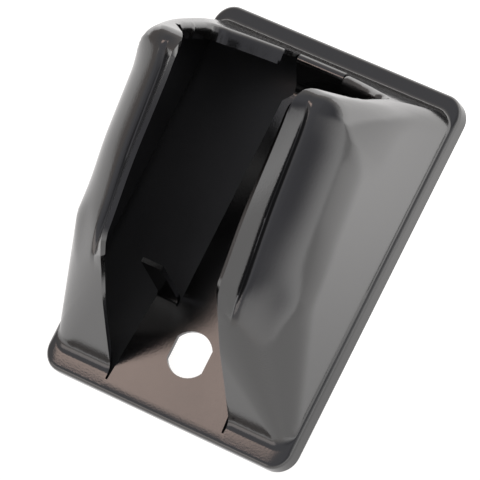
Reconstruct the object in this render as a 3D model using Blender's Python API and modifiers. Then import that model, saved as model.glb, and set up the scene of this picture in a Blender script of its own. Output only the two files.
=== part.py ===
"""Pressed socket bracket: a deep-drawn hood with a front slit, on a flanged backing plate.

The bracket lies on its back. X runs across it, Y runs along it towards the open mouth and Z points out
of the wall it is fixed to. The origin is the centre of the back face.
Lengths are written in millimetres and turned into metres by MM.
"""
import math

import bmesh
import bpy
import numpy as np

MM = 0.001

# Driving dimensions
PLATE_WIDTH = 60.0
PLATE_LENGTH = 84.0
PLATE_CORNER_RADIUS = 4.8
RIM_DEPTH = 3.4
RIM_BEND_RADIUS = 1.1
RIM_SIDE = ((0.0, -3.4), (0.45, -1.2), (0.6, -0.75), (0.8, -0.45), (1.05, -0.22))
SHEET = 1.0

HOOD_HALF_WIDTH = 28.6
HOOD_BOTTOM = -36.9
HOOD_TOP = 38.3
HOOD_BASE_CORNER = 3.5
HOOD_BASE_FILLET = 1.5
HOOD_SIDE_FILLET = 0.15
HOOD_SIDE_FILLET_HEIGHT = 0.45
SIDE_DRAFT = 0.06
FRONT_HEIGHT = 36.5
FRONT_SLOPE = 0.25
RAMP_SLOPE = 1.9
END_LEAN_LOW = 0.256
END_LEAN_HIGH = 0.356
END_LEAN_CHANGE = 15.5
KNEE_RADIUS = 4.0
KNEE_RADIUS_AT_SIDE = 11.0
SHOULDER_RADIUS = 15.0
SHOULDER_RADIUS_LOW = 20.0
SHOULDER_GROWTH = 0.58

SLIT_HALF_WIDTH = 13.8
SLIT_FIRST_COLUMN = -31.0
SLIT_TOP = 23.0
SLIT_FOOT_HALF_WIDTH = 14.35
LIP_FOOT = 15.75
LIP_HEIGHT = 2.5
CREASE = 16.1
CREASE_DEPTH = 0.45
CREASE_SPREAD = 0.55

MOUTH_HALF_WIDTH = 20.6
MOUTH_TIP = 33.4
MOUTH_SLIT_CORNER = 40.7
MOUTH_FLOOR = 10.15
MOUTH_FLOOR_START = 7.2
MOUTH_CORNER = 19.2
MOUTH_CORNER_RADIUS = 3.2
BAND_DEPTH = 3.3
BAND_START = 2.4
BAND_LEAD_IN = 4.0
BAND_BEND = 1.2
BAND_WRINKLE = 0.3
BAND_WRINKLE_AT = 9.0

TONGUE_HALF_WIDTH = 13.85
TONGUE_STEP_HALF_WIDTH = 12.4
STRIP_HALF_WIDTH = 7.1
STRIP_NECK_HALF_WIDTH = 5.5
LANCE_END = -39.4
STEP_Y = -19.9
RIDGE_CORNER = 8.0
RIDGE_BEND = 1.15
STRIP_FOOT_Y = 31.0
TAB_GAP = 0.5
TAB_HEIGHT = 14.5
TAB_LEAN = 2.6
TAB_BEND = 1.4

KEY_HOLE_Y = -27.8
KEY_HOLE_RADIUS = 4.9
KEY_HOLE_HALF_FLATS = 4.225

BACK_INSET = 1.8
BACK_THICKNESS = 2.1
BACK_HOLE_RADIUS = 6.0

# Steps round the fillet at the hood's foot
FILLET_PARTS = (0.0, 0.33, 0.67)

# Stretches round the hood: (t on the free edge, u on the base, columns up to the next stretch)
STRETCHES = ((0.0, 0.0, 3), (1.0, 1.0, 4), (1.6, 2.0, 3), (2.1, 2.25, 8), (3.0, 2.776, 2), (4.0, 2.82, 1),
             (5.0, 2.855, 3), (6.0, 2.897, 2), (6.4, 3.0, 4), (6.85, 4.0, 1), (7.0, 4.15, 3), (10.0, 4.38, 5),
             (14.0, 4.913, 1), (15.0, 5.0, 0))


def clear_scene():
    for obj in list(bpy.data.objects):
        bpy.data.objects.remove(obj, do_unlink=True)


def smoothstep(low, high, value):
    t = np.clip((value - low) / (high - low), 0.0, 1.0)
    return t * t * (3.0 - 2.0 * t)


def rounded_max(first, second, radius):
    """Intersection of two solids given by signed distances, with a round edge between them."""
    a = np.maximum(first + radius, 0.0)
    b = np.maximum(second + radius, 0.0)
    return np.minimum(np.maximum(first, second), -radius) + np.sqrt(a * a + b * b)


def rounded_min(first, second):
    return 0.5 * (first + second - np.sqrt((first - second) ** 2 + 4.0))


def end_wall(z):
    """Y and lean of the end wall at one height. It leans back, and leans more above END_LEAN_CHANGE."""
    above = z - END_LEAN_CHANGE
    soft = np.sqrt(above * above + 16.0)
    extra = END_LEAN_HIGH - END_LEAN_LOW
    y = HOOD_TOP - END_LEAN_LOW * z - extra * 0.5 * (above + soft)
    lean = END_LEAN_LOW + extra * 0.5 * (1.0 + above / soft)
    return y, lean


def hood_distance(x, y, z):
    """Signed distance, near enough, to the hood's outer face: negative inside."""
    front = (z - FRONT_HEIGHT - FRONT_SLOPE * y) / math.hypot(1.0, FRONT_SLOPE)
    ramp = (z - RAMP_SLOPE * (y - HOOD_BOTTOM)) / math.hypot(1.0, RAMP_SLOPE)
    wall_y, lean = end_wall(z)
    end = (y - wall_y) / np.hypot(1.0, lean)
    knee = KNEE_RADIUS + (KNEE_RADIUS_AT_SIDE - KNEE_RADIUS) * smoothstep(14.5, 23.0, np.abs(x))
    profile = rounded_max(rounded_max(front, ramp, knee), end, KNEE_RADIUS)
    side = np.abs(x) - HOOD_HALF_WIDTH + SIDE_DRAFT * z
    z_up = np.maximum(z, 0.0)
    low_share = 1.0 - smoothstep(-18.0, 4.0, y)
    shoulder = SHOULDER_RADIUS + (SHOULDER_RADIUS_LOW - SHOULDER_RADIUS) * low_share
    long_edge = rounded_min(HOOD_BASE_CORNER + SHOULDER_GROWTH * z_up, shoulder)
    end_edge = HOOD_BASE_CORNER + 0.04 * z_up
    share = smoothstep(16.0, 31.0, y)
    radius = long_edge * (1.0 - share) + end_edge * share
    return rounded_max(profile, side, radius)


def bisect(inside, outside, distance):
    """Parameter between inside and outside where distance changes sign, for arrays of parameters."""
    low = np.array(inside, dtype=float)
    high = np.array(outside, dtype=float)
    for _ in range(40):
        middle = 0.5 * (low + high)
        is_in = distance(middle) < 0.0
        low = np.where(is_in, middle, low)
        high = np.where(is_in, high, middle)
    return 0.5 * (low + high)


def height_at(x, y):
    return float(bisect(0.0, 60.0, lambda z: hood_distance(x, y, z)))


def end_face_y(x, z):
    """Y of the end wall's outer face, starting from the last sample that is inside the hood."""
    samples = np.linspace(-10.0, 45.0, 221)
    last = samples[np.nonzero(hood_distance(x, samples, z) < 0.0)[0][-1]]
    return float(bisect(last, last + 1.0, lambda y: hood_distance(x, y, z)))


def lip_rise(x, y):
    """The slit's edges are pressed up in a lip with a crease at its foot, from the knee to the mouth."""
    along = smoothstep(-22.5, -16.2, y) * (1.0 - smoothstep(18.5, 24.5, y))
    slope = LIP_HEIGHT / (LIP_FOOT - SLIT_HALF_WIDTH)
    ramp = slope * (LIP_FOOT - x)
    lip = 0.5 * (ramp + np.sqrt(ramp * ramp + 0.04)) * (1.0 - 0.5 * smoothstep(-6.0, 20.0, y))
    crease = CREASE_DEPTH * np.exp(-((x - CREASE) / CREASE_SPREAD) ** 2)
    return along * (lip - crease)


def slit_half_width(y):
    return SLIT_HALF_WIDTH + (SLIT_FOOT_HALF_WIDTH - SLIT_HALF_WIDTH) * (1.0 - smoothstep(-36.5, -20.0, y))


def mouth_outline():
    """Mouth's edge as (x, z), from the slit's top down to the neck of the strip."""
    slit_top = (SLIT_HALF_WIDTH, height_at(SLIT_HALF_WIDTH, SLIT_TOP))
    points = [slit_top, (SLIT_HALF_WIDTH + 0.5, MOUTH_SLIT_CORNER), (MOUTH_HALF_WIDTH, MOUTH_TIP),
              (MOUTH_HALF_WIDTH, MOUTH_CORNER)]
    for angle in (30.0, 60.0, 85.0):
        a = math.radians(angle)
        points.append((MOUTH_HALF_WIDTH - MOUTH_CORNER_RADIUS * (1.0 - math.cos(a)),
                       MOUTH_CORNER - MOUTH_CORNER_RADIUS * math.sin(a)))
    for x in (15.0, 12.0, 9.5, MOUTH_FLOOR_START):
        run = x - MOUTH_FLOOR_START
        points.append((x, MOUTH_FLOOR + 0.4 * run + 0.014 * run * run))
    points.append((STRIP_NECK_HALF_WIDTH, ridge_line()[0][1]))
    return points


def ridge_line():
    """Section of the strip, as (y, z), from the end wall over the ridge and down to the flat."""
    wall_y, lean = end_wall(RIDGE_CORNER)
    corner = np.array([wall_y, RIDGE_CORNER])
    down_wall = np.array([lean, -1.0]) / math.hypot(lean, 1.0)
    down_strip = np.array([STRIP_FOOT_Y, 0.0]) - corner
    down_strip = down_strip / np.linalg.norm(down_strip)
    half = 0.5 * math.acos(float(down_wall @ down_strip))
    start = corner + RIDGE_BEND / math.tan(half) * down_wall
    stop = corner + RIDGE_BEND / math.tan(half) * down_strip
    middle = down_wall + down_strip
    centre = corner + RIDGE_BEND / math.sin(half) * middle / np.linalg.norm(middle)
    first = math.atan2(start[1] - centre[1], start[0] - centre[0])
    last = math.atan2(stop[1] - centre[1], stop[0] - centre[0])
    line = [start]
    for k in range(1, 6):
        a = first + (last - first) * k / 5.0
        line.append(centre + RIDGE_BEND * np.array([math.cos(a), math.sin(a)]))
    for part in (0.35, 0.7):
        line.append(stop + part * (np.array([STRIP_FOOT_Y, 0.0]) - stop))
    foot = np.array([STRIP_FOOT_Y, 0.0])
    before = foot - 1.6 * down_strip
    after = foot - np.array([1.6, 0.0])
    for part in (0.0, 0.33, 0.67, 1.0):
        line.append((1 - part) ** 2 * before + 2 * part * (1 - part) * foot + part * part * after)
    return line


def inner_edge(t):
    """Point on the hood's free edge. t is 0 on the ramp, 4 at the slit's top and runs on round the mouth."""
    if t <= 4.0:
        y = np.interp(t, [0.0, 1.0, 2.0, 3.0, 4.0], [SLIT_FIRST_COLUMN, -26.0, -20.0, 20.0, SLIT_TOP])
        x = float(slit_half_width(y))
        return np.array([x, y, height_at(x, y)])
    outline = mouth_outline()
    at = min(t - 4.0, len(outline) - 1.0)
    i = min(int(at), len(outline) - 2)
    x, z = np.array(outline[i]) + (at - i) * (np.array(outline[i + 1]) - np.array(outline[i]))
    if z <= outline[-1][1] + 1e-9:
        return np.array([x, end_wall(z)[0], z])
    return np.array([x, end_face_y(x, z), z])


def rounded_rectangle(u, half_x, low_y, high_y, radius):
    """Point and outward normal on the right half of a rounded rectangle.

    u is 0 to 1 along the bottom edge from x = SLIT_FOOT_HALF_WIDTH, 1 to 2 round the bottom corner,
    2 to 3 up the side, 3 to 4 round the top corner and 4 to 5 back along the top edge to the strip's neck.
    """
    if u <= 1.0:
        x = SLIT_FOOT_HALF_WIDTH + u * (half_x - radius - SLIT_FOOT_HALF_WIDTH)
        return np.array([x, low_y]), np.array([0.0, -1.0])
    if u <= 2.0:
        a = math.radians(-90.0 + 90.0 * (u - 1.0))
        n = np.array([math.cos(a), math.sin(a)])
        return np.array([half_x - radius, low_y + radius]) + radius * n, n
    if u <= 3.0:
        y = low_y + radius + (u - 2.0) * (high_y - low_y - 2.0 * radius)
        return np.array([half_x, y]), np.array([1.0, 0.0])
    if u <= 4.0:
        a = math.radians(90.0 * (u - 3.0))
        n = np.array([math.cos(a), math.sin(a)])
        return np.array([half_x - radius, high_y - radius]) + radius * n, n
    x = (half_x - radius) + (u - 4.0) * (STRIP_NECK_HALF_WIDTH - half_x + radius)
    return np.array([x, high_y]), np.array([0.0, 1.0])


def plate_edge(u):
    half_length = PLATE_LENGTH / 2.0
    return rounded_rectangle(u, PLATE_WIDTH / 2.0, -half_length, half_length, PLATE_CORNER_RADIUS)


def rim_rows(edge, normal):
    """Rim from its free edge up to the flange, as 3-D points at one place on the plate's outline.

    At the two ends it bends up square to a flat flange. Along the sides it slopes in to the hood's foot.
    """
    side = normal[0] ** 2
    rows = []
    for (side_inset, side_z), angle in zip(RIM_SIDE, (None, 0.0, 30.0, 60.0, 90.0)):
        inset, z = 0.0, -RIM_DEPTH
        if angle is not None:
            a = math.radians(angle)
            inset, z = RIM_BEND_RADIUS * (1.0 - math.cos(a)), -RIM_BEND_RADIUS * (1.0 - math.sin(a))
        inset, z = inset + side * (side_inset - inset), z + side * (side_z - z)
        rows.append(np.array([*(edge - inset * normal), z]))
    return rows


def column_curve(top, base, count=160):
    """Hood's outer face from its free edge to its base, cut by an upright plane through both."""
    run = np.array([base[0] - top[0], base[1] - top[1]])
    length = np.linalg.norm(run)
    along = run / length
    hub = np.array([top[0], top[1]]) + 0.25 * run
    hub_z = 0.35 * top[2]
    from_angle = math.atan2(top[2] - hub_z, -0.25 * length)
    to_angle = math.atan2(0.02 - hub_z, 0.75 * length)
    angles = np.linspace(from_angle, to_angle, count)
    c, s = np.cos(angles), np.sin(angles)

    def along_ray(reach):
        return hood_distance(hub[0] + reach * c * along[0], hub[1] + reach * c * along[1], hub_z + reach * s)

    reach = bisect(np.zeros(count), np.full(count, 90.0), along_ray)
    points = np.stack([hub[0] + reach * c * along[0], hub[1] + reach * c * along[1], hub_z + reach * s], axis=1)
    points[0] = top
    return points


def resample(points, stations):
    """Points at the given distances from the start. Distances past the end stop at the end."""
    steps = np.concatenate([[0.0], np.cumsum(np.linalg.norm(np.diff(points, axis=0), axis=1))])
    at = np.clip(stations, 0.0, steps[-1])
    return np.stack([np.interp(at, steps, points[:, k]) for k in range(3)], axis=1), steps[-1]


def hood_rows(top, u, near_edge=(0.0, 1.65, 2.3, 3.1, 5.2), spread_rows=8):
    """One column of the hood: base fillet first, then up the wall to the free edge."""
    base, normal = rounded_rectangle(u, HOOD_HALF_WIDTH, HOOD_BOTTOM, HOOD_TOP, HOOD_BASE_CORNER)
    curve = column_curve(top, base)
    side = normal[0] ** 2
    fillet = HOOD_BASE_FILLET + (HOOD_SIDE_FILLET - HOOD_BASE_FILLET) * side
    keep = curve[:, 2] >= HOOD_BASE_FILLET + (HOOD_SIDE_FILLET_HEIGHT - HOOD_BASE_FILLET) * side
    keep[0] = True
    curve = curve[keep]
    _, total = resample(curve, [0.0])
    near = np.array(near_edge) * min(1.0, total / 18.0)
    rest = near[-1] + (total - near[-1]) * np.linspace(0.0, 1.0, spread_rows + 1)[1:]
    rows, _ = resample(curve, np.concatenate([near, rest]))
    rows[:, 2] += lip_rise(rows[:, 0], rows[:, 1])
    wall = rows[-1]
    corner = np.array([base[0], base[1], 0.05 * side])
    foot = np.array([*(base + fillet * normal), -0.08 * side])
    bend = [(1 - f) ** 2 * foot + 2 * f * (1 - f) * corner + f * f * wall for f in FILLET_PARTS]
    return bend + [rows[i] for i in range(len(rows) - 1, -1, -1)]


class Surface:
    """Collects faces and shares the points that they have in common."""

    def __init__(self):
        self.points = []
        self.index = {}
        self.faces = []

    def vertex(self, point):
        key = tuple(int(round(value * 2000.0)) for value in point)
        if key not in self.index:
            self.index[key] = len(self.points)
            self.points.append([float(value) for value in point])
        return self.index[key]

    def grid(self, columns):
        """Faces between neighbouring columns of equally many points, turned to face out."""
        for left, right in zip(columns, columns[1:]):
            for low in range(min(len(left), len(right)) - 1):
                ring = [self.vertex(p) for p in (left[low], right[low], right[low + 1], left[low + 1])]
                ring = [v for i, v in enumerate(ring) if v != ring[i - 1]]
                if len(ring) > 2:
                    self.faces.append(ring)

    def split_edge(self, start, stop, middle):
        """Put a point on an edge, in every face that has the edge."""
        ends = {self.vertex(start), self.vertex(stop)}
        for face in self.faces:
            for i, v in enumerate(face):
                if {face[i - 1], v} == ends:
                    face.insert(i, self.vertex(middle))
                    break

    def mesh(self, name):
        data = bpy.data.meshes.new(name)
        data.from_pydata([[value * MM for value in p] for p in self.points], [], self.faces)
        data.validate()
        data.update()
        return data


def ring_stations():
    """Places round the hood: t on its free edge, matched with u on its base."""
    stations = []
    for (t, u, count), (next_t, next_u, _) in zip(STRETCHES, STRETCHES[1:]):
        stations += [(t + (next_t - t) * k / count, u + (next_u - u) * k / count) for k in range(count)]
    return stations + [STRETCHES[-1][:2]]


def band_rows(here, before, after, depth, bulge):
    """Flange turned in round the mouth, from the end wall round its bend to its own free edge."""
    lean = end_wall(here[2])[1]
    outward = np.array([0.0, 1.0, lean]) / math.hypot(1.0, lean)
    edge = (after - before) / np.linalg.norm(after - before)
    into_mouth = np.cross(outward, edge)
    into_mouth = into_mouth / np.linalg.norm(into_mouth)
    turn = math.acos(max(0.0, 1.0 - depth / BAND_BEND))
    start = here - BAND_BEND * math.sin(turn) * into_mouth
    start[1] = end_face_y(start[0], start[2])
    rows = []
    for k in range(4):
        a = turn * k / 3.0
        rows.append(start + BAND_BEND * (math.sin(a) * into_mouth - (1.0 - math.cos(a)) * outward))
    tangent = math.cos(turn) * into_mouth - math.sin(turn) * outward
    step = max(0.12, 0.5 * (depth - BAND_BEND))
    rows += [rows[3] + step * tangent, rows[3] + 2.0 * step * tangent]
    return [row + share * bulge * into_mouth for row, share in zip(rows, (0.0, 0.2, 0.6, 1.0, 1.0, 1.0))]


def shell_surface():
    surface = Surface()
    stations = ring_stations()
    edges = [inner_edge(t) for t, _ in stations]
    first_band = next(i for i, (t, _) in enumerate(stations) if t > 6.0 - 1e-6)
    last_band = max(i for i, (t, _) in enumerate(stations) if t < 14.0 + 1e-6)
    bands = []
    travelled = 0.0
    for i in range(first_band, last_band + 1):
        if i > first_band:
            travelled += float(np.linalg.norm(edges[i] - edges[i - 1]))
        depth = 0.1 + (BAND_DEPTH - 0.1) * min(1.0, max(0.0, travelled - BAND_START) / BAND_LEAD_IN)
        before = edges[i - 1] if i > first_band else edges[i]
        after = edges[i + 1] if i < last_band else 2.0 * edges[i] - edges[i - 1]
        bulge = BAND_WRINKLE * math.exp(-((travelled - BAND_WRINKLE_AT) / 0.4) ** 2)
        bands.append(band_rows(edges[i], before, after, depth, bulge))
    bands[0] = [edges[first_band]] * len(bands[0])
    for i, rows in enumerate(bands):
        edges[first_band + i] = rows[0]
    columns = []
    for top, (_, u) in zip(edges, stations):
        edge, normal = plate_edge(u)
        columns.append(rim_rows(edge, normal) + hood_rows(top, u))
    for column, rows in zip(columns[first_band:], bands):
        rows[0] = column[-1]
    surface.grid(columns)
    surface.grid(bands)
    add_tongue(surface, columns[-1], columns[0])
    return surface


def strip_column(neck, part):
    """One column of the strip, from the rim up the low end wall, over the ridge and along the flat."""
    neck_x = part * STRIP_NECK_HALF_WIDTH
    x = part * STRIP_HALF_WIDTH
    rows = [np.array([neck_x, p[1], p[2]]) for p in neck]
    rows += [np.array([neck_x, y, z]) for y, z in ridge_line()[1:]]
    return rows + [np.array([x, y, 0.0]) for y in (27.4, 22.0, 14.0, 6.0, -2.0, -10.0, STEP_Y)]


def add_tongue(surface, neck, slit_side):
    """Flat tongue from the bottom flange, the strip that joins it to the ridge, and half of a stop tab."""
    parts = (0.0, 0.35, 0.68, 1.0)
    surface.grid([strip_column(neck, part) for part in parts[::-1]])

    tab_inner = STRIP_HALF_WIDTH + TAB_GAP
    tab_middle = 0.5 * (tab_inner + TONGUE_STEP_HALF_WIDTH)
    wide_middle = 0.5 * (tab_inner + TONGUE_HALF_WIDTH)
    spine = [(part * STRIP_HALF_WIDTH, part * STRIP_HALF_WIDTH) for part in parts]
    spine += [(tab_inner, tab_inner), (wide_middle, tab_middle), (TONGUE_HALF_WIDTH, TONGUE_STEP_HALF_WIDTH)]
    tongue = []
    for wide_x, step_x in spine:
        rim = rim_rows(np.array([wide_x, -PLATE_LENGTH / 2.0]), np.array([0.0, -1.0]))
        rows = rim + [np.array([wide_x, LANCE_END, 0.0])]
        for y in (-36.0, -32.0, -28.0, -24.0, STEP_Y):
            part = (y - LANCE_END) / (STEP_Y - LANCE_END)
            rows.append(np.array([wide_x + part * (step_x - wide_x), y, 0.0]))
        tongue.append(rows)
    surface.grid(tongue)

    slit_end = np.array([SLIT_FOOT_HALF_WIDTH, LANCE_END, 0.0])
    surface.split_edge(slit_side[4], slit_side[5], slit_end)
    surface.grid([tongue[-1][:6], slit_side[:5] + [slit_end]])

    lean = math.atan2(TAB_LEAN, TAB_HEIGHT)
    tabs = []
    for step_x in (tab_inner, tab_middle, TONGUE_STEP_HALF_WIDTH):
        rows = []
        for k in range(4):
            a = (math.pi / 2.0 - lean) * k / 3.0
            rows.append(np.array([step_x, STEP_Y + TAB_BEND * math.sin(a), TAB_BEND * (1.0 - math.cos(a))]))
        rise = TAB_HEIGHT - rows[-1][2]
        for part in (0.5, 1.0):
            rows.append(rows[3] + part * np.array([0.0, rise * math.tan(lean), rise]))
        tabs.append(rows)
    surface.grid(tabs)


def material(name, colour, roughness, metallic):
    mat = bpy.data.materials.new(name)
    mat.use_nodes = True
    shader = mat.node_tree.nodes["Principled BSDF"]
    shader.inputs["Base Color"].default_value = (*colour, 1.0)
    shader.inputs["Roughness"].default_value = roughness
    shader.inputs["Metallic"].default_value = metallic
    return mat


def add_object(name, data, collection, mat=None):
    obj = bpy.data.objects.new(name, data)
    collection.objects.link(obj)
    if mat:
        obj.data.materials.append(mat)
    return obj


def outline_solid(name, outline, low, high, collection):
    """Upright prism from a closed outline."""
    curve = bpy.data.curves.new(name + "_outline", "CURVE")
    curve.dimensions = "2D"
    curve.fill_mode = "BOTH"
    curve.extrude = (high - low) / 2.0 * MM
    spline = curve.splines.new("POLY")
    spline.points.add(len(outline) - 1)
    for point, (x, y) in zip(spline.points, outline):
        point.co = (x * MM, y * MM, 0.0, 1.0)
    spline.use_cyclic_u = True
    guide = bpy.data.objects.new(name + "_curve", curve)
    collection.objects.link(guide)
    bpy.context.view_layer.update()
    evaluated = guide.evaluated_get(bpy.context.evaluated_depsgraph_get())
    data = bpy.data.meshes.new_from_object(evaluated)
    bpy.data.objects.remove(guide, do_unlink=True)
    work = bmesh.new()
    work.from_mesh(data)
    bmesh.ops.remove_doubles(work, verts=work.verts, dist=1e-6)
    bmesh.ops.recalc_face_normals(work, faces=work.faces)
    work.to_mesh(data)
    work.free()
    data.name = name
    obj = bpy.data.objects.new(name, data)
    collection.objects.link(obj)
    obj.location.z = (low + high) / 2.0 * MM
    return obj


def key_outline():
    """Round hole with two flats parallel to Y."""
    half_angle = math.acos(KEY_HOLE_HALF_FLATS / KEY_HOLE_RADIUS)
    points = []
    for side in (0.0, math.pi):
        for k in range(14):
            a = side + half_angle + (math.pi - 2.0 * half_angle) * k / 13.0
            points.append((KEY_HOLE_RADIUS * math.cos(a), KEY_HOLE_Y + KEY_HOLE_RADIUS * math.sin(a)))
    return points


def circle_outline(x, y, radius, count=48):
    turns = [2.0 * math.pi * k / count for k in range(count)]
    return [(x + radius * math.cos(a), y + radius * math.sin(a)) for a in turns]


def add_cut(obj, cutter):
    cutter.hide_render = True
    cutter.display_type = "WIRE"
    cut = obj.modifiers.new("cut_" + cutter.name, "BOOLEAN")
    cut.operation = "DIFFERENCE"
    cut.solver = "EXACT"
    cut.object = cutter


def build_shell(parts, cutters):
    obj = add_object("hood_shell", shell_surface().mesh("hood_shell"), parts,
                     material("hood_black", (0.035, 0.034, 0.034), 0.28, 0.35))
    obj.location.z = RIM_DEPTH * MM
    mirror = obj.modifiers.new("mirror", "MIRROR")
    mirror.use_axis = (True, False, False)
    mirror.use_clip = True
    mirror.merge_threshold = 0.00001
    solid = obj.modifiers.new("sheet", "SOLIDIFY")
    solid.thickness = SHEET * MM
    solid.offset = -1.0
    solid.use_even_offset = True
    solid.thickness_clamp = 0.0
    add_cut(obj, outline_solid("key_hole", key_outline(), 0.0, RIM_DEPTH + 4.0, cutters))
    obj.data.shade_smooth()
    return obj


def back_outline():
    radius = PLATE_CORNER_RADIUS - BACK_INSET
    half_x = PLATE_WIDTH / 2.0 - BACK_INSET
    half_y = PLATE_LENGTH / 2.0 - BACK_INSET
    points = []
    for quarter, (sx, sy) in enumerate(((1, 1), (-1, 1), (-1, -1), (1, -1))):
        for k in range(7):
            a = math.radians(90.0 * quarter + 15.0 * k)
            points.append((sx * (half_x - radius) + radius * math.cos(a),
                           sy * (half_y - radius) + radius * math.sin(a)))
    return points


def build_back(parts, cutters):
    obj = outline_solid("back_plate", back_outline(), 0.0, BACK_THICKNESS, parts)
    obj.data.materials.append(material("back_black", (0.02, 0.02, 0.021), 0.6, 0.0))
    add_cut(obj, outline_solid("back_hole", circle_outline(0.0, KEY_HOLE_Y, BACK_HOLE_RADIUS),
                               -1.0, BACK_THICKNESS + 1.0, cutters))
    return obj


def main():
    clear_scene()
    parts = bpy.data.collections.new("socket_bracket")
    cutters = bpy.data.collections.new("cutters")
    for collection in (parts, cutters):
        bpy.context.scene.collection.children.link(collection)
    build_shell(parts, cutters)
    build_back(parts, cutters)


main()
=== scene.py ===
"""Looks of the pressed socket bracket: the black coated hood and its backing, on a pale floor."""
import math

import bpy
import numpy as np
from mathutils import Matrix, Vector


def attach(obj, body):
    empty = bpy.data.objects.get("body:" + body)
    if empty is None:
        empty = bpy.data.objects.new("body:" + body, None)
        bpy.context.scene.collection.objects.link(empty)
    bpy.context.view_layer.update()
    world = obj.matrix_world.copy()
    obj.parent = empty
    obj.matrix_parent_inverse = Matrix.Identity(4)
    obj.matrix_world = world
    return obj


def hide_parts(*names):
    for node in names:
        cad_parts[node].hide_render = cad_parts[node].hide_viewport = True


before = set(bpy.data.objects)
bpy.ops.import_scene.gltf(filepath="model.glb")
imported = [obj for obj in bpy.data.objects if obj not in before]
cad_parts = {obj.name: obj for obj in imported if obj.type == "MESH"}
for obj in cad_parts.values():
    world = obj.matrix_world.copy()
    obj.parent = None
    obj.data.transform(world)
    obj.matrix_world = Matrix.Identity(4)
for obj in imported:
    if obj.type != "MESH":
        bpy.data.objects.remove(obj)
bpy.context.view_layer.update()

MM = 0.001

# Driving dimensions, in millimetres. Z is 0 on the flange until the shell is lifted by RIM_DEPTH.
PLATE_WIDTH = 60.0
PLATE_LENGTH = 84.0
PLATE_CORNER_RADIUS = 4.8
RIM_DEPTH = 3.4
RIM_BEND_RADIUS = 1.1
RIM_SIDE = ((0.0, -3.4), (0.45, -1.2), (0.6, -0.75), (0.8, -0.45), (1.05, -0.22))
SHEET = 1.0

HOOD_HALF_WIDTH = 28.6
HOOD_BOTTOM = -36.9
HOOD_TOP = 38.3
HOOD_BASE_CORNER = 3.5
HOOD_BASE_FILLET = 1.5
HOOD_SIDE_FILLET = 0.15
HOOD_SIDE_FILLET_HEIGHT = 0.45
SIDE_DRAFT = 0.06
FRONT_HEIGHT = 36.5
FRONT_SLOPE = 0.25
RAMP_SLOPE = 1.9
END_LEAN_LOW = 0.256
END_LEAN_HIGH = 0.356
END_LEAN_CHANGE = 15.5
END_LEAN_BLEND = 4.0
KNEE_RADIUS = 4.0
KNEE_RADIUS_AT_SIDE = 11.0
KNEE_WIDENING_X = (14.5, 23.0)
SHOULDER_RADIUS = 15.0
SHOULDER_RADIUS_LOW = 20.0
SHOULDER_CHANGE_Y = (-18.0, 4.0)
SHOULDER_GROWTH = 0.58
SHOULDER_BLEND = 2.0
END_EDGE_GROWTH = 0.04
END_EDGE_CHANGE_Y = (16.0, 31.0)
FILLET_RISE_AT_SIDE = 0.05
FILLET_DROP_AT_SIDE = 0.08

SLIT_HALF_WIDTH = 13.8
SLIT_FIRST_COLUMN = -31.0
SLIT_TOP = 23.0
SLIT_FOOT_HALF_WIDTH = 14.35
SLIT_FLARE_Y = (-36.5, -20.0)
LIP_HEIGHT = 2.5
LIP_LOSS = 0.5
LIP_START_Y = (-22.5, -16.2)
LIP_LOSS_Y = (-6.0, 20.0)
LIP_STOP_Y = (18.5, 24.5)
# The crease is sharper and deeper than the solid model's, because it has to look dark at this size
CREASE = 16.3
CREASE_DEPTH = 1.2
CREASE_SPREAD = 1.3
CREASE_POWER = 1.3

MOUTH_HALF_WIDTH = 20.6
MOUTH_TIP = 33.4
MOUTH_SLIT_CORNER = 40.7
MOUTH_SLIT_STEP = 0.5
MOUTH_FLOOR = 10.15
MOUTH_FLOOR_START = 7.2
MOUTH_FLOOR_SLOPE = 0.4
MOUTH_FLOOR_CURVE = 0.014
MOUTH_CORNER = 19.2
MOUTH_CORNER_RADIUS = 3.2
BAND_DEPTH = 3.3
BAND_FIRST_DEPTH = 0.1
BAND_START = 2.4
BAND_LEAD_IN = 4.0
BAND_BEND = 1.2
BAND_WRINKLE = 0.3
BAND_WRINKLE_AT = 9.0
BAND_WRINKLE_WIDTH = 0.4
BAND_WRINKLE_SHARES = (0.0, 0.2, 0.6, 1.0, 1.0, 1.0)
BAND_LEAST_STEP = 0.12

TONGUE_HALF_WIDTH = 13.85
TONGUE_STEP_HALF_WIDTH = 12.4
STRIP_HALF_WIDTH = 7.1
STRIP_NECK_HALF_WIDTH = 5.5
LANCE_END = -39.4
STEP_Y = -19.9
RIDGE_CORNER = 8.0
RIDGE_BEND = 1.15
STRIP_FOOT_Y = 31.0
STRIP_FOOT_BEND = 1.6
TAB_GAP = 0.5
TAB_HEIGHT = 14.5
TAB_LEAN = 2.6
TAB_BEND = 1.4

KEY_HOLE_Y = -27.8
KEY_HOLE_RADIUS = 4.9
KEY_HOLE_HALF_FLATS = 4.225

# Columns round the hood as (t on its free edge, u on its base, count up to the next), and rows in each.
# They are finer than the solid model's, so that reflections run smoothly.
STRETCHES = (
    (0.0, 0.0, 12), (1.0, 1.0, 12), (1.6, 2.0, 10), (2.1, 2.25, 28), (3.0, 2.776, 8), (4.0, 2.82, 4),
    (5.0, 2.855, 10), (6.0, 2.897, 6), (6.4, 3.0, 16), (6.85, 4.0, 4), (7.0, 4.15, 9), (10.0, 4.38, 16),
    (14.0, 4.913, 3), (15.0, 5.0, 0),
)
NEAR_EDGE_ROWS = (0.0, 0.3, 0.6, 0.9, *(1.2 + 0.15 * k for k in range(17)), 3.9, 4.2, 4.5, 4.8, 5.1, 5.4)
SPREAD_ROWS = 30
FULL_COLUMN = 18.0
FILLET_PARTS = tuple(0.125 * k for k in range(8))
BAND_T = (6.0, 14.0)
SLIT_T_Y = (SLIT_FIRST_COLUMN, -26.0, -20.0, 20.0, SLIT_TOP)
MOUTH_CORNER_ANGLES = (30.0, 60.0, 85.0)
MOUTH_FLOOR_X = (15.0, 12.0, 9.5, MOUTH_FLOOR_START)
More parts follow.
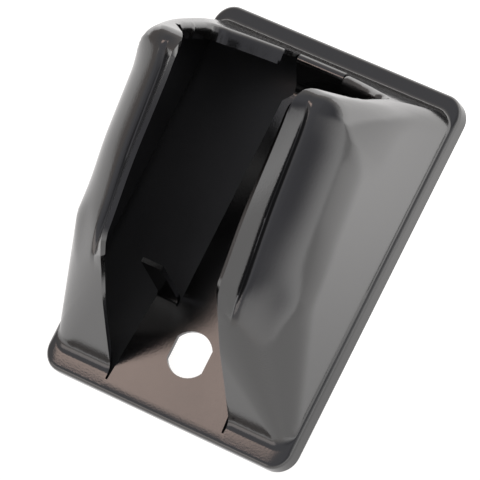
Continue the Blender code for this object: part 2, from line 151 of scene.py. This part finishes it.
BEND_ROWS = 4
STRIP_PARTS = (0.0, 0.35, 0.68, 1.0)
STRIP_Y = (27.4, 22.0, 14.0, 6.0, -2.0, -10.0, STEP_Y)
TONGUE_Y = (-36.0, -32.0, -28.0, -24.0, STEP_Y)
KEY_HOLE_ARC_POINTS = 14
POINTS_PER_MM = 2000.0

# Searches for the hood's face, which has no formula of its own. A column's rays start from a hub, placed by
# its shares of the column's run and height.
TOP_SEARCH = 60.0
END_SEARCH = (-10.0, 45.0, 221)
REACH_SEARCH = 90.0
HALVINGS = 40
CURVE_POINTS = 160
HUB_RUN = 0.25
HUB_HEIGHT = 0.35
LOWEST_POINT = 0.02

# Cut edges
EDGE_BEVEL = 0.14
EDGE_BEVEL_ANGLE = 50.0
EDGE_NORMAL_WEIGHT = 60
MIRROR_MERGE = 0.01
CUTTER_ABOVE_FLANGE = 4.0

# Coating: almost black, with a fine grain and a roughness that drifts slowly over the surface
COATING_IOR = 1.9
SHELL_COLOUR = (0.0032, 0.003, 0.003)
SHELL_ROUGHNESS = 0.15
BACK_COLOUR = (0.006, 0.006, 0.0065)
BACK_ROUGHNESS = 0.5
GRAIN_SCALE = 2600.0
GRAIN_DETAIL = 3.0
GRAIN_STRENGTH = 0.5
GRAIN_HEIGHT = 0.03
GRAIN_DARK_SHARE = 0.6
GRAIN_STOPS = (0.35, 0.65)
DRIFT_SCALE = 55.0
DRIFT_DETAIL = 4.0
DRIFT_RANGE = (0.3, 0.7)
DRIFT_SHARES = (0.85, 1.2)

# Floor, room, panels and camera are in metres. Each floor gradient is from, to, glow at from, glow at to:
# the first two multiply and the third adds.
FLOOR_HALF_SIZE = 3.0
FLOOR_BASE = 0.2
FLOOR_ROUGHNESS = 0.9
FLOOR_TINT = (1.0, 0.985, 0.975, 1.0)
FLOOR_GLOW = 1.0
# The three gradients below are painted light. They raise the floor's glow towards +Y, on its +X side and
# beyond the bracket's top, in place of light falling there. FLOOR_GLOW is the even glow.
FLOOR_LIGHT_ALONG = (-0.035, 0.03, -0.05, 0.6)
FLOOR_LIGHT_ACROSS = (0.0, 0.05, 0.2, 1.0)
FLOOR_LIGHT_BEYOND = (0.044, 0.060, 0.0, 0.7)

# Room: colours from its -X side to its +X side, at the horizon and overhead
WORLD_HORIZON = ((0.0, (0.5, 0.45, 0.43)), (0.5, (0.95, 0.9, 0.87)), (1.0, (1.7, 1.68, 1.68)))
WORLD_OVERHEAD = ((0.0, (0.5, 0.49, 0.5)), (0.5, (0.5, 0.5, 0.54)), (1.0, (0.28, 0.28, 0.31)))
WORLD_SIDES = (-1.0, 1.0, 0.0, 1.0)
WORLD_HEIGHTS = (0.0, 0.72, 0.0, 1.0)

# Light panels: name, place, aim, width, length, power and colour
PANELS = (
    ("overhead", (-0.15, 0.0, 0.30), (-0.15, 0.0, 0.0), 0.12, 0.08, 0.068, (1.0, 0.74, 0.62)),
    ("front", (-0.3, -0.5, 0.28), (0.0, 0.0, 0.02), 0.5, 0.3, 0.4, (1.0, 0.9, 0.85)),
)

CAMERA_PLACE = (0.35979, -0.10552, 0.82971)
CAMERA_AXES = ((0.8384, 0.4478, -0.3106), (-0.3723, 0.8869, 0.2736), (0.398, -0.1137, 0.9103))
CAMERA_LENS = 335.8
CAMERA_SENSOR = 36.0
CAMERA_CLIP = (0.01, 20.0)


def smoothstep(low, high, value):
    t = np.clip((value - low) / (high - low), 0.0, 1.0)
    return t * t * (3.0 - 2.0 * t)


def rounded_max(first, second, radius):
    """Intersection of two solids given by signed distances, with a round edge between them."""
    a = np.maximum(first + radius, 0.0)
    b = np.maximum(second + radius, 0.0)
    return np.minimum(np.maximum(first, second), -radius) + np.sqrt(a * a + b * b)


def rounded_min(first, second, blend):
    return 0.5 * (first + second - np.sqrt((first - second) ** 2 + blend ** 2))


def end_wall(z):
    """Y and lean of the end wall at one height. It leans back, and leans more above END_LEAN_CHANGE."""
    above = z - END_LEAN_CHANGE
    soft = np.sqrt(above * above + END_LEAN_BLEND ** 2)
    extra = END_LEAN_HIGH - END_LEAN_LOW
    y = HOOD_TOP - END_LEAN_LOW * z - extra * 0.5 * (above + soft)
    lean = END_LEAN_LOW + extra * 0.5 * (1.0 + above / soft)
    return y, lean


def hood_distance(x, y, z):
    """Signed distance, near enough, to the hood's outer face: negative inside."""
    front = (z - FRONT_HEIGHT - FRONT_SLOPE * y) / math.hypot(1.0, FRONT_SLOPE)
    ramp = (z - RAMP_SLOPE * (y - HOOD_BOTTOM)) / math.hypot(1.0, RAMP_SLOPE)
    wall_y, lean = end_wall(z)
    end = (y - wall_y) / np.hypot(1.0, lean)
    knee = KNEE_RADIUS + (KNEE_RADIUS_AT_SIDE - KNEE_RADIUS) * smoothstep(*KNEE_WIDENING_X, np.abs(x))
    profile = rounded_max(rounded_max(front, ramp, knee), end, KNEE_RADIUS)
    side = np.abs(x) - HOOD_HALF_WIDTH + SIDE_DRAFT * z
    z_up = np.maximum(z, 0.0)
    low_share = 1.0 - smoothstep(*SHOULDER_CHANGE_Y, y)
    shoulder = SHOULDER_RADIUS + (SHOULDER_RADIUS_LOW - SHOULDER_RADIUS) * low_share
    long_edge = rounded_min(HOOD_BASE_CORNER + SHOULDER_GROWTH * z_up, shoulder, SHOULDER_BLEND)
    end_edge = HOOD_BASE_CORNER + END_EDGE_GROWTH * z_up
    share = smoothstep(*END_EDGE_CHANGE_Y, y)
    radius = long_edge * (1.0 - share) + end_edge * share
    return rounded_max(profile, side, radius)


def bisect(inside, outside, distance):
    """Parameter between inside and outside where distance changes sign, for arrays of parameters."""
    low = np.array(inside, dtype=float)
    high = np.array(outside, dtype=float)
    for _ in range(HALVINGS):
        middle = 0.5 * (low + high)
        is_in = distance(middle) < 0.0
        low = np.where(is_in, middle, low)
        high = np.where(is_in, high, middle)
    return 0.5 * (low + high)


def height_at(x, y):
    return float(bisect(0.0, TOP_SEARCH, lambda z: hood_distance(x, y, z)))


def end_face_y(x, z):
    """Y of the end wall's outer face, starting from the last sample that is inside the hood."""
    samples = np.linspace(*END_SEARCH)
    last = samples[np.nonzero(hood_distance(x, samples, z) < 0.0)[0][-1]]
    return float(bisect(last, last + 1.0, lambda y: hood_distance(x, y, z)))


def lip_rise(x, y):
    """The slit's edges are pressed up in a lip with a sharp crease at its foot."""
    along = smoothstep(*LIP_START_Y, y) * (1.0 - smoothstep(*LIP_STOP_Y, y))
    lip = LIP_HEIGHT * (1.0 - LIP_LOSS * smoothstep(*LIP_LOSS_Y, y))
    outside = x - CREASE
    inner = -CREASE_DEPTH - (lip + CREASE_DEPTH) * outside / (CREASE - SLIT_HALF_WIDTH)
    outer = -CREASE_DEPTH * np.clip(1.0 - outside / CREASE_SPREAD, 0.0, 1.0) ** CREASE_POWER
    return along * np.where(outside < 0.0, inner, outer)


def slit_half_width(y):
    foot_share = 1.0 - smoothstep(*SLIT_FLARE_Y, y)
    return SLIT_HALF_WIDTH + (SLIT_FOOT_HALF_WIDTH - SLIT_HALF_WIDTH) * foot_share


def mouth_outline():
    """Mouth's edge as (x, z), from the slit's top down to the neck of the strip."""
    slit_top = (SLIT_HALF_WIDTH, height_at(SLIT_HALF_WIDTH, SLIT_TOP))
    points = [slit_top, (SLIT_HALF_WIDTH + MOUTH_SLIT_STEP, MOUTH_SLIT_CORNER), (MOUTH_HALF_WIDTH, MOUTH_TIP),
              (MOUTH_HALF_WIDTH, MOUTH_CORNER)]
    for angle in MOUTH_CORNER_ANGLES:
        a = math.radians(angle)
        points.append((MOUTH_HALF_WIDTH - MOUTH_CORNER_RADIUS * (1.0 - math.cos(a)),
                       MOUTH_CORNER - MOUTH_CORNER_RADIUS * math.sin(a)))
    for x in MOUTH_FLOOR_X:
        run = x - MOUTH_FLOOR_START
        points.append((x, MOUTH_FLOOR + MOUTH_FLOOR_SLOPE * run + MOUTH_FLOOR_CURVE * run * run))
    points.append((STRIP_NECK_HALF_WIDTH, ridge_line()[0][1]))
    return points


def ridge_line():
    """Section of the strip, as (y, z), from the end wall over the ridge and down to the flat."""
    wall_y, lean = end_wall(RIDGE_CORNER)
    corner = np.array([wall_y, RIDGE_CORNER])
    down_wall = np.array([lean, -1.0]) / math.hypot(lean, 1.0)
    down_strip = np.array([STRIP_FOOT_Y, 0.0]) - corner
    down_strip = down_strip / np.linalg.norm(down_strip)
    half = 0.5 * math.acos(float(down_wall @ down_strip))
    start = corner + RIDGE_BEND / math.tan(half) * down_wall
    stop = corner + RIDGE_BEND / math.tan(half) * down_strip
    middle = down_wall + down_strip
    centre = corner + RIDGE_BEND / math.sin(half) * middle / np.linalg.norm(middle)
    first = math.atan2(start[1] - centre[1], start[0] - centre[0])
    last = math.atan2(stop[1] - centre[1], stop[0] - centre[0])
    line = [start]
    for k in range(1, 6):
        a = first + (last - first) * k / 5.0
        line.append(centre + RIDGE_BEND * np.array([math.cos(a), math.sin(a)]))
    for part in (0.35, 0.7):
        line.append(stop + part * (np.array([STRIP_FOOT_Y, 0.0]) - stop))
    foot = np.array([STRIP_FOOT_Y, 0.0])
    before = foot - STRIP_FOOT_BEND * down_strip
    after = foot - np.array([STRIP_FOOT_BEND, 0.0])
    for part in (0.0, 0.33, 0.67, 1.0):
        line.append((1 - part) ** 2 * before + 2 * part * (1 - part) * foot + part * part * after)
    return line


def inner_edge(t):
    """Point on the hood's free edge. t is 0 on the ramp, 4 at the slit's top and runs on round the mouth."""
    if t <= 4.0:
        y = np.interp(t, range(len(SLIT_T_Y)), SLIT_T_Y)
        x = float(slit_half_width(y))
        return np.array([x, y, height_at(x, y)])
    outline = mouth_outline()
    at = min(t - 4.0, len(outline) - 1.0)
    i = min(int(at), len(outline) - 2)
    x, z = np.array(outline[i]) + (at - i) * (np.array(outline[i + 1]) - np.array(outline[i]))
    if z <= outline[-1][1] + 1e-9:
        return np.array([x, end_wall(z)[0], z])
    return np.array([x, end_face_y(x, z), z])


def rounded_rectangle(u, half_x, low_y, high_y, radius):
    """Point and outward normal on the right half of a rounded rectangle.

    u is 0 to 1 along the bottom edge from x = SLIT_FOOT_HALF_WIDTH, 1 to 2 round the bottom corner,
    2 to 3 up the side, 3 to 4 round the top corner and 4 to 5 back along the top edge to the strip's neck.
    """
    if u <= 1.0:
        x = SLIT_FOOT_HALF_WIDTH + u * (half_x - radius - SLIT_FOOT_HALF_WIDTH)
        return np.array([x, low_y]), np.array([0.0, -1.0])
    if u <= 2.0:
        a = math.radians(-90.0 + 90.0 * (u - 1.0))
        n = np.array([math.cos(a), math.sin(a)])
        return np.array([half_x - radius, low_y + radius]) + radius * n, n
    if u <= 3.0:
        y = low_y + radius + (u - 2.0) * (high_y - low_y - 2.0 * radius)
        return np.array([half_x, y]), np.array([1.0, 0.0])
    if u <= 4.0:
        a = math.radians(90.0 * (u - 3.0))
        n = np.array([math.cos(a), math.sin(a)])
        return np.array([half_x - radius, high_y - radius]) + radius * n, n
    x = (half_x - radius) + (u - 4.0) * (STRIP_NECK_HALF_WIDTH - half_x + radius)
    return np.array([x, high_y]), np.array([0.0, 1.0])


def plate_edge(u):
    half_length = PLATE_LENGTH / 2.0
    return rounded_rectangle(u, PLATE_WIDTH / 2.0, -half_length, half_length, PLATE_CORNER_RADIUS)


def rim_rows(edge, normal):
    """Rim from its free edge up to the flange, as 3-D points at one place on the plate's outline.

    At the two ends it bends up square to a flat flange. Along the sides it slopes in to the hood's foot.
    """
    side = normal[0] ** 2
    rows = []
    for (side_inset, side_z), angle in zip(RIM_SIDE, (None, 0.0, 30.0, 60.0, 90.0)):
        inset, z = 0.0, -RIM_DEPTH
        if angle is not None:
            a = math.radians(angle)
            inset, z = RIM_BEND_RADIUS * (1.0 - math.cos(a)), -RIM_BEND_RADIUS * (1.0 - math.sin(a))
        inset, z = inset + side * (side_inset - inset), z + side * (side_z - z)
        rows.append(np.array([*(edge - inset * normal), z]))
    return rows


def column_curve(top, base):
    """Hood's outer face from its free edge to its base, cut by an upright plane through both."""
    run = np.array([base[0] - top[0], base[1] - top[1]])
    length = np.linalg.norm(run)
    along = run / length
    hub = np.array([top[0], top[1]]) + HUB_RUN * run
    hub_z = HUB_HEIGHT * top[2]
    from_angle = math.atan2(top[2] - hub_z, -HUB_RUN * length)
    to_angle = math.atan2(LOWEST_POINT - hub_z, (1.0 - HUB_RUN) * length)
    angles = np.linspace(from_angle, to_angle, CURVE_POINTS)
    c, s = np.cos(angles), np.sin(angles)

    def on_rays(reach):
        return hub[0] + reach * c * along[0], hub[1] + reach * c * along[1], hub_z + reach * s

    reach = bisect(np.zeros(CURVE_POINTS), np.full(CURVE_POINTS, REACH_SEARCH),
                   lambda reach: hood_distance(*on_rays(reach)))
    points = np.stack(on_rays(reach), axis=1)
    points[0] = top
    return points


def resample(points, stations):
    """Points at the given distances from the start. Distances past the end stop at the end."""
    steps = np.concatenate([[0.0], np.cumsum(np.linalg.norm(np.diff(points, axis=0), axis=1))])
    at = np.clip(stations, 0.0, steps[-1])
    return np.stack([np.interp(at, steps, points[:, k]) for k in range(3)], axis=1), steps[-1]


def hood_rows(top, u):
    """One column of the hood: base fillet first, then up the wall to the free edge."""
    base, normal = rounded_rectangle(u, HOOD_HALF_WIDTH, HOOD_BOTTOM, HOOD_TOP, HOOD_BASE_CORNER)
    curve = column_curve(top, base)
    side = normal[0] ** 2
    fillet = HOOD_BASE_FILLET + (HOOD_SIDE_FILLET - HOOD_BASE_FILLET) * side
    fillet_top = HOOD_BASE_FILLET + (HOOD_SIDE_FILLET_HEIGHT - HOOD_BASE_FILLET) * side
    keep = curve[:, 2] >= fillet_top
    keep[0] = True
    curve = curve[keep]
    _, total = resample(curve, [0.0])
    near = np.array(NEAR_EDGE_ROWS) * min(1.0, total / FULL_COLUMN)
    rest = near[-1] + (total - near[-1]) * np.linspace(0.0, 1.0, SPREAD_ROWS + 1)[1:]
    rows, _ = resample(curve, np.concatenate([near, rest]))
    rows[:, 2] += lip_rise(rows[:, 0], rows[:, 1])
    wall = rows[-1]
    corner = np.array([base[0], base[1], FILLET_RISE_AT_SIDE * side])
    foot = np.array([*(base + fillet * normal), -FILLET_DROP_AT_SIDE * side])
    bend = [(1 - f) ** 2 * foot + 2 * f * (1 - f) * corner + f * f * wall for f in FILLET_PARTS]
    return bend + list(rows[::-1])


class Surface:
    """Collects faces and shares the points that they have in common."""

    def __init__(self):
        self.points = []
        self.index = {}
        self.faces = []

    def vertex(self, point):
        key = tuple(int(round(value * POINTS_PER_MM)) for value in point)
        if key not in self.index:
            self.index[key] = len(self.points)
            self.points.append([float(value) for value in point])
        return self.index[key]

    def grid(self, columns):
        """Faces between neighbouring columns of equally many points, turned to face out."""
        for left, right in zip(columns, columns[1:]):
            for low in range(min(len(left), len(right)) - 1):
                ring = [self.vertex(p) for p in (left[low], right[low], right[low + 1], left[low + 1])]
                ring = [v for i, v in enumerate(ring) if v != ring[i - 1]]
                if len(ring) > 2:
                    self.faces.append(ring)

    def split_edge(self, start, stop, middle):
        """Put a point on an edge, in every face that has the edge."""
        ends = {self.vertex(start), self.vertex(stop)}
        for face in self.faces:
            for i, v in enumerate(face):
                if {face[i - 1], v} == ends:
                    face.insert(i, self.vertex(middle))
                    break

    def mesh(self, name):
        data = bpy.data.meshes.new(name)
        data.from_pydata([[value * MM for value in p] for p in self.points], [], self.faces)
        data.validate()
        data.update()
        return data


def ring_stations():
    """Places round the hood: t on its free edge, matched with u on its base."""
    stations = []
    for (t, u, count), (next_t, next_u, _) in zip(STRETCHES, STRETCHES[1:]):
        for k in range(count):
            stations.append((t + (next_t - t) * k / count, u + (next_u - u) * k / count))
    return stations + [STRETCHES[-1][:2]]


def band_rows(here, before, after, depth, bulge):
    """Flange turned in round the mouth, from the end wall round its bend to its own free edge."""
    lean = end_wall(here[2])[1]
    outward = np.array([0.0, 1.0, lean]) / math.hypot(1.0, lean)
    edge = (after - before) / np.linalg.norm(after - before)
    into_mouth = np.cross(outward, edge)
    into_mouth = into_mouth / np.linalg.norm(into_mouth)
    turn = math.acos(max(0.0, 1.0 - depth / BAND_BEND))
    start = here - BAND_BEND * math.sin(turn) * into_mouth
    start[1] = end_face_y(start[0], start[2])
    rows = []
    for k in range(BEND_ROWS):
        a = turn * k / (BEND_ROWS - 1)
        rows.append(start + BAND_BEND * (math.sin(a) * into_mouth - (1.0 - math.cos(a)) * outward))
    tangent = math.cos(turn) * into_mouth - math.sin(turn) * outward
    step = max(BAND_LEAST_STEP, 0.5 * (depth - BAND_BEND))
    bend_end = rows[-1]
    rows += [bend_end + step * tangent, bend_end + 2.0 * step * tangent]
    return [row + share * bulge * into_mouth for row, share in zip(rows, BAND_WRINKLE_SHARES)]


def shell_surface():
    surface = Surface()
    stations = ring_stations()
    edges = [inner_edge(t) for t, _ in stations]
    first_band = next(i for i, (t, _) in enumerate(stations) if t > BAND_T[0] - 1e-6)
    last_band = max(i for i, (t, _) in enumerate(stations) if t < BAND_T[1] + 1e-6)
    bands = []
    travelled = 0.0
    for i in range(first_band, last_band + 1):
        if i > first_band:
            travelled += float(np.linalg.norm(edges[i] - edges[i - 1]))
        led_in = min(1.0, max(0.0, travelled - BAND_START) / BAND_LEAD_IN)
        depth = BAND_FIRST_DEPTH + (BAND_DEPTH - BAND_FIRST_DEPTH) * led_in
        before = edges[i - 1] if i > first_band else edges[i]
        after = edges[i + 1] if i < last_band else 2.0 * edges[i] - edges[i - 1]
        bulge = BAND_WRINKLE * math.exp(-((travelled - BAND_WRINKLE_AT) / BAND_WRINKLE_WIDTH) ** 2)
        bands.append(band_rows(edges[i], before, after, depth, bulge))
    bands[0] = [edges[first_band]] * len(bands[0])
    for i, rows in enumerate(bands):
        edges[first_band + i] = rows[0]
    columns = []
    for top, (_, u) in zip(edges, stations):
        edge, normal = plate_edge(u)
        columns.append(rim_rows(edge, normal) + hood_rows(top, u))
    for column, rows in zip(columns[first_band:], bands):
        rows[0] = column[-1]
    surface.grid(columns)
    surface.grid(bands)
    add_tongue(surface, columns[-1], columns[0])
    return surface


def strip_column(neck, part):
    """One column of the strip, from the rim up the low end wall, over the ridge and along the flat."""
    neck_x = part * STRIP_NECK_HALF_WIDTH
    x = part * STRIP_HALF_WIDTH
    rows = [np.array([neck_x, p[1], p[2]]) for p in neck]
    rows += [np.array([neck_x, y, z]) for y, z in ridge_line()[1:]]
    return rows + [np.array([x, y, 0.0]) for y in STRIP_Y]


def add_tongue(surface, neck, slit_side):
    """Flat tongue from the bottom flange, the strip that joins it to the ridge, and half of a stop tab."""
    surface.grid([strip_column(neck, part) for part in STRIP_PARTS[::-1]])

    tab_inner = STRIP_HALF_WIDTH + TAB_GAP
    tab_middle = 0.5 * (tab_inner + TONGUE_STEP_HALF_WIDTH)
    wide_middle = 0.5 * (tab_inner + TONGUE_HALF_WIDTH)
    spine = [(part * STRIP_HALF_WIDTH, part * STRIP_HALF_WIDTH) for part in STRIP_PARTS]
    spine += [(tab_inner, tab_inner), (wide_middle, tab_middle), (TONGUE_HALF_WIDTH, TONGUE_STEP_HALF_WIDTH)]
    tongue = []
    for wide_x, step_x in spine:
        rim = rim_rows(np.array([wide_x, -PLATE_LENGTH / 2.0]), np.array([0.0, -1.0]))
        rows = rim + [np.array([wide_x, LANCE_END, 0.0])]
        for y in TONGUE_Y:
            part = (y - LANCE_END) / (STEP_Y - LANCE_END)
            rows.append(np.array([wide_x + part * (step_x - wide_x), y, 0.0]))
        tongue.append(rows)
    surface.grid(tongue)

    slit_end = np.array([SLIT_FOOT_HALF_WIDTH, LANCE_END, 0.0])
    rim_count = len(RIM_SIDE)
    surface.split_edge(slit_side[rim_count - 1], slit_side[rim_count], slit_end)
    surface.grid([tongue[-1][:rim_count + 1], slit_side[:rim_count] + [slit_end]])

    lean = math.atan2(TAB_LEAN, TAB_HEIGHT)
    tabs = []
    for step_x in (tab_inner, tab_middle, TONGUE_STEP_HALF_WIDTH):
        rows = []
        for k in range(BEND_ROWS):
            a = (math.pi / 2.0 - lean) * k / (BEND_ROWS - 1)
            bend = TAB_BEND * math.sin(a), TAB_BEND * (1.0 - math.cos(a))
            rows.append(np.array([step_x, STEP_Y + bend[0], bend[1]]))
        bend_end = rows[-1]
        rise = TAB_HEIGHT - bend_end[2]
        for part in (0.5, 1.0):
            rows.append(bend_end + part * np.array([0.0, rise * math.tan(lean), rise]))
        tabs.append(rows)
    surface.grid(tabs)


def key_outline():
    """Round hole with two flats parallel to Y."""
    half_angle = math.acos(KEY_HOLE_HALF_FLATS / KEY_HOLE_RADIUS)
    points = []
    for side in (0.0, math.pi):
        for k in range(KEY_HOLE_ARC_POINTS):
            a = side + half_angle + (math.pi - 2.0 * half_angle) * k / (KEY_HOLE_ARC_POINTS - 1)
            points.append((KEY_HOLE_RADIUS * math.cos(a), KEY_HOLE_Y + KEY_HOLE_RADIUS * math.sin(a)))
    return points


def add_object(name, data):
    obj = bpy.data.objects.new(name, data)
    bpy.context.scene.collection.objects.link(obj)
    return obj


def build_shell():
    """Hood and flange: the right half's outer face, mirrored, given its sheet and cut for the key."""
    data = shell_surface().mesh("shell")
    obj = add_object("shell", data)
    data.transform(Matrix.Translation((0.0, 0.0, RIM_DEPTH * MM)))
    mirror = obj.modifiers.new("mirror", "MIRROR")
    mirror.use_clip = True
    mirror.merge_threshold = MIRROR_MERGE * MM
    solid = obj.modifiers.new("sheet", "SOLIDIFY")
    solid.thickness = SHEET * MM
    solid.offset = -1.0
    solid.use_even_offset = True
    cutter = prism("key_cutter", key_outline(), 0.0, RIM_DEPTH + CUTTER_ABOVE_FLANGE)
    cut = obj.modifiers.new("key_hole", "BOOLEAN")
    cut.operation = "DIFFERENCE"
    cut.solver = "EXACT"
    cut.object = cutter
    bevel = obj.modifiers.new("edges", "BEVEL")
    bevel.width = EDGE_BEVEL * MM
    bevel.segments = 2
    bevel.limit_method = "ANGLE"
    bevel.angle_limit = math.radians(EDGE_BEVEL_ANGLE)
    bevel.use_clamp_overlap = True
    bpy.context.view_layer.update()
    evaluated = obj.evaluated_get(bpy.context.evaluated_depsgraph_get())
    final = bpy.data.meshes.new_from_object(evaluated)
    obj.modifiers.clear()
    obj.data = final
    final.name = "shell"
    final.shade_smooth()
    normals = obj.modifiers.new("normals", "WEIGHTED_NORMAL")
    normals.keep_sharp = True
    normals.weight = EDGE_NORMAL_WEIGHT
    bpy.data.objects.remove(cutter, do_unlink=True)
    return obj


def prism(name, outline, low, high):
    count = len(outline)
    points = [(x * MM, y * MM, z * MM) for z in (low, high) for x, y in outline]
    faces = [tuple(range(count))[::-1], tuple(range(count, 2 * count))]
    faces += [(i, (i + 1) % count, count + (i + 1) % count, count + i) for i in range(count)]
    data = bpy.data.meshes.new(name)
    data.from_pydata(points, [], faces)
    return add_object(name, data)


def ramp_node(nodes, stops):
    """Colour ramp with (position, colour) stops, positions rising from 0 to 1."""
    ramp = nodes.new("ShaderNodeValToRGB")
    ramp.color_ramp.interpolation = "EASE"
    while len(ramp.color_ramp.elements) < len(stops):
        ramp.color_ramp.elements.new(0.5)
    for element, (position, colour) in zip(ramp.color_ramp.elements, stops):
        element.position = position
        element.color = (*colour, 1.0)
    return ramp


def map_range(tree, source, bounds, smooth=True):
    """Source's value mapped from between the first two bounds to between the last two."""
    node = tree.nodes.new("ShaderNodeMapRange")
    if smooth:
        node.interpolation_type = "SMOOTHSTEP"
    for socket, bound in zip(("From Min", "From Max", "To Min", "To Max"), bounds):
        node.inputs[socket].default_value = bound
    tree.links.new(source, node.inputs["Value"])
    return node.outputs["Result"]


def noise(tree, place, scale, detail):
    node = tree.nodes.new("ShaderNodeTexNoise")
    node.inputs["Scale"].default_value = scale
    node.inputs["Detail"].default_value = detail
    tree.links.new(place, node.inputs["Vector"])
    return node.outputs["Fac"]


def axes(tree, coordinates):
    """X, Y and Z outputs of a texture coordinate."""
    place = tree.nodes.new("ShaderNodeTexCoord")
    split = tree.nodes.new("ShaderNodeSeparateXYZ")
    tree.links.new(place.outputs[coordinates], split.inputs["Vector"])
    return split.outputs


def coated_metal(name, colour, roughness):
    """Black coating with a fine orange-peel grain, darker in its pits, and roughness that drifts."""
    mat = bpy.data.materials.new(name)
    mat.use_nodes = True
    tree = mat.node_tree
    shader = tree.nodes["Principled BSDF"]
    place = tree.nodes.new("ShaderNodeTexCoord").outputs["Object"]
    grain = noise(tree, place, GRAIN_SCALE, GRAIN_DETAIL)
    drift = noise(tree, place, DRIFT_SCALE, DRIFT_DETAIL)
    bump = tree.nodes.new("ShaderNodeBump")
    bump.inputs["Strength"].default_value = GRAIN_STRENGTH
    bump.inputs["Distance"].default_value = GRAIN_HEIGHT * MM
    tree.links.new(grain, bump.inputs["Height"])
    tree.links.new(bump.outputs["Normal"], shader.inputs["Normal"])
    bounds = (*DRIFT_RANGE, *(share * roughness for share in DRIFT_SHARES))
    drifting = map_range(tree, drift, bounds, smooth=False)
    tree.links.new(drifting, shader.inputs["Roughness"])
    pits = [GRAIN_DARK_SHARE * c for c in colour]
    tint = ramp_node(tree.nodes, tuple(zip(GRAIN_STOPS, (pits, colour))))
    tree.links.new(grain, tint.inputs["Fac"])
    tree.links.new(tint.outputs["Color"], shader.inputs["Base Color"])
    shader.inputs["IOR"].default_value = COATING_IOR
    return mat


def add_floor():
    """Glowing pale table with painted light: its glow is brighter on its +X side, towards +Y and beyond the
    bracket's top.
    """
    data = bpy.data.meshes.new("floor")
    half = FLOOR_HALF_SIZE
    corners = [(-half, -half, 0.0), (half, -half, 0.0), (half, half, 0.0), (-half, half, 0.0)]
    data.from_pydata(corners, [], [(0, 1, 2, 3)])
    obj = add_object("floor", data)
    mat = bpy.data.materials.new("floor")
    mat.use_nodes = True
    tree = mat.node_tree
    shader = tree.nodes["Principled BSDF"]
    shader.inputs["Base Color"].default_value = (FLOOR_BASE, FLOOR_BASE, FLOOR_BASE, 1.0)
    shader.inputs["Roughness"].default_value = FLOOR_ROUGHNESS
    shader.inputs["Specular IOR Level"].default_value = 0.0
    place = axes(tree, "Object")
    # Painted light: the gradients' extra glow, added to the floor's even glow below
    glow = tree.nodes.new("ShaderNodeMath")
    glow.operation = "MULTIPLY_ADD"
    for socket, (axis, bounds) in enumerate((("Y", FLOOR_LIGHT_ALONG), ("X", FLOOR_LIGHT_ACROSS), ("Y", FLOOR_LIGHT_BEYOND))):
        tree.links.new(map_range(tree, place[axis], bounds), glow.inputs[socket])
    total = tree.nodes.new("ShaderNodeMath")
    total.operation = "ADD"
    total.inputs[1].default_value = FLOOR_GLOW
    tree.links.new(glow.outputs["Value"], total.inputs[0])
    tree.links.new(total.outputs["Value"], shader.inputs["Emission Strength"])
    shader.inputs["Emission Color"].default_value = FLOOR_TINT
    data.materials.append(mat)


def add_panel(name, place, aim, width, length, power, colour):
    light = bpy.data.lights.new(name, "AREA")
    light.shape = "RECTANGLE"
    light.size = width
    light.size_y = length
    light.energy = power
    light.color = colour
    obj = add_object(name, light)
    turn = (Vector(aim) - Vector(place)).to_track_quat("-Z", "Y")
    obj.matrix_world = Matrix.Translation(place) @ turn.to_matrix().to_4x4()
    obj.visible_camera = False


def add_world():
    """Soft room: bright at the horizon, most of all on its +X side, and dim overhead."""
    world = bpy.data.worlds.new("studio")
    bpy.context.scene.world = world
    world.use_nodes = True
    tree = world.node_tree
    background = tree.nodes["Background"]
    place = axes(tree, "Generated")
    blend = tree.nodes.new("ShaderNodeMixRGB")
    tree.links.new(map_range(tree, place["Z"], WORLD_HEIGHTS), blend.inputs["Fac"])
    side = map_range(tree, place["X"], WORLD_SIDES, smooth=False)
    for socket, stops in (("Color1", WORLD_HORIZON), ("Color2", WORLD_OVERHEAD)):
        colours = ramp_node(tree.nodes, stops)
        tree.links.new(side, colours.inputs["Fac"])
        tree.links.new(colours.outputs["Color"], blend.inputs[socket])
    tree.links.new(blend.outputs["Color"], background.inputs["Color"])
    background.inputs["Strength"].default_value = 1.0


def add_camera():
    camera = bpy.data.cameras.new("camera")
    camera.sensor_width = CAMERA_SENSOR
    camera.lens = CAMERA_LENS
    camera.clip_start, camera.clip_end = CAMERA_CLIP
    obj = add_object("camera", camera)
    turn = Matrix(CAMERA_AXES).transposed()
    obj.matrix_world = Matrix.Translation(CAMERA_PLACE) @ turn.to_4x4()
    bpy.context.scene.camera = obj


shell = build_shell()
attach(shell, "root")
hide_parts("hood_shell")
shell.data.materials.clear()
shell.data.materials.append(coated_metal("shell_coating", SHELL_COLOUR, SHELL_ROUGHNESS))
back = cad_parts["back_plate"]
back.data.materials.clear()
back.data.materials.append(coated_metal("back_coating", BACK_COLOUR, BACK_ROUGHNESS))
add_floor()
add_world()
for panel in PANELS:
    add_panel(*panel)
add_camera()
bpy.context.scene.view_settings.view_transform = "Standard"
